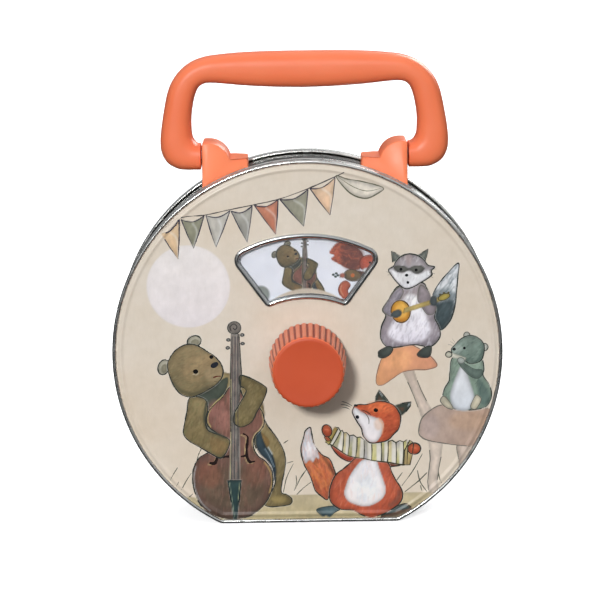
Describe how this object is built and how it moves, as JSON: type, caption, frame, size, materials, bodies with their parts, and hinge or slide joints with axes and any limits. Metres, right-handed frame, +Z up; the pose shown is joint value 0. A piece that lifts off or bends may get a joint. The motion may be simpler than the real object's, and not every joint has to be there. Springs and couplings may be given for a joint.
{
  "type": "wind-up musical tin toy",
  "caption": "Round flat-based tin toy with a ribbed winding knob, fan-shaped window over a turning picture disc, fold-down carrying handle and a musical movement inside.",
  "frame": {"origin": "centre of the row's box at the height of the flat base, knob tip to case back in depth", "axes": "+Z up from the base, X across the case, -Y out of the printed face along the knob"},
  "size_m": [0.16, 0.0684, 0.1936],
  "materials": {
    "front_cover": "printed tinplate, satin varnish",
    "back_cover": "printed tinplate, satin varnish",
    "side_band": "bare tinplate",
    "window_bezel": "polished tinplate",
    "window_lens": "clear plastic",
    "shaft_bushing": "turned",
    "left_bracket": "moulded, satin",
    "right_bracket": "moulded, satin",
    "bracket_washers": "plated",
    "bracket_screws": "plated",
    "movement_carrier": "plated",
    "carrier_screws": "plated",
    "bedplate": "machined",
    "bedplate_screws": "plated",
    "bridge_plate": "stamped",
    "bridge_pillars": "turned",
    "bridge_screws": "plated",
    "spring_housing": "drawn",
    "mainspring": "blued",
    "comb": "ground",
    "comb_base": "machined",
    "comb_screws": "plated",
    "knob": "moulded, satin",
    "winding_shaft": "turned",
    "picture_disc": "printed sheet",
    "disc_hub": "turned",
    "great_wheel": "cut teeth",
    "music_cylinder": "pinned drum",
    "cylinder_pinion": "cut teeth",
    "cylinder_wheel": "cut teeth",
    "governor_arbor": "turned",
    "governor_pinion": "cut teeth",
    "governor_wheel": "cut teeth",
    "fly_arbor": "turned",
    "fly_pinion": "cut teeth",
    "handle": "moulded, satin",
    "left_hinge_pin": "turned",
    "right_hinge_pin": "turned"
  },
  "bodies": {
    "case": {"front_cover": "front_cover", "back_cover": "back_cover", "side_band": "side_band", "window_bezel": "window_bezel", "window_lens": "window_lens", "shaft_bushing": "shaft_bushing", "left_bracket": "left_bracket", "right_bracket": "right_bracket", "bracket_washers": "bracket_washers", "bracket_screws": "bracket_screws", "movement_carrier": "movement_carrier", "carrier_screws": "carrier_screws", "bedplate": "bedplate", "bedplate_screws": "bedplate_screws", "bridge_plate": "bridge_plate", "bridge_pillars": "bridge_pillars", "bridge_screws": "bridge_screws", "spring_housing": "spring_housing", "mainspring": "mainspring", "comb": "comb", "comb_base": "comb_base", "comb_screws": "comb_screws"},
    "knob": {"knob": "knob", "winding_shaft": "winding_shaft", "picture_disc": "picture_disc", "disc_hub": "disc_hub", "great_wheel": "great_wheel"},
    "cylinder": {"music_cylinder": "music_cylinder", "cylinder_pinion": "cylinder_pinion", "cylinder_wheel": "cylinder_wheel"},
    "governor": {"governor_arbor": "governor_arbor", "governor_pinion": "governor_pinion", "governor_wheel": "governor_wheel"},
    "fly": {"fly_arbor": "fly_arbor", "fly_pinion": "fly_pinion"},
    "handle": {"handle": "handle", "left_hinge_pin": "left_hinge_pin", "right_hinge_pin": "right_hinge_pin"}
  },
  "joints": [
    {"name": "knob_turn", "type": "hinge", "parent": "case", "child": "knob", "pos_m": [0, 0.01225, 0.0685], "axis": [0, 1, 0], "continuous": true},
    {"name": "cylinder_turn", "type": "hinge", "parent": "case", "child": "cylinder", "pos_m": [0.0225, 0.01225, 0.0685], "axis": [0, 1, 0], "continuous": true},
    {"name": "governor_turn", "type": "hinge", "parent": "case", "child": "governor", "pos_m": [0.0225, 0.01225, 0.0585], "axis": [0, 1, 0], "continuous": true},
    {"name": "fly_turn", "type": "hinge", "parent": "case", "child": "fly", "pos_m": [0.0225, 0.01225, 0.0505], "axis": [0, 1, 0], "continuous": true},
    {"name": "handle_fold", "type": "hinge", "parent": "case", "child": "handle", "pos_m": [0, 0.01225, 0.1503], "axis": [1, 0, 0], "range_deg": [-102, 102]}
  ],
  "couplings": [
    {"joint": "cylinder_turn", "follows": "knob_turn", "ratio": -4},
    {"joint": "governor_turn", "follows": "knob_turn", "ratio": 12},
    {"joint": "fly_turn", "follows": "knob_turn", "ratio": -36}
  ]
}
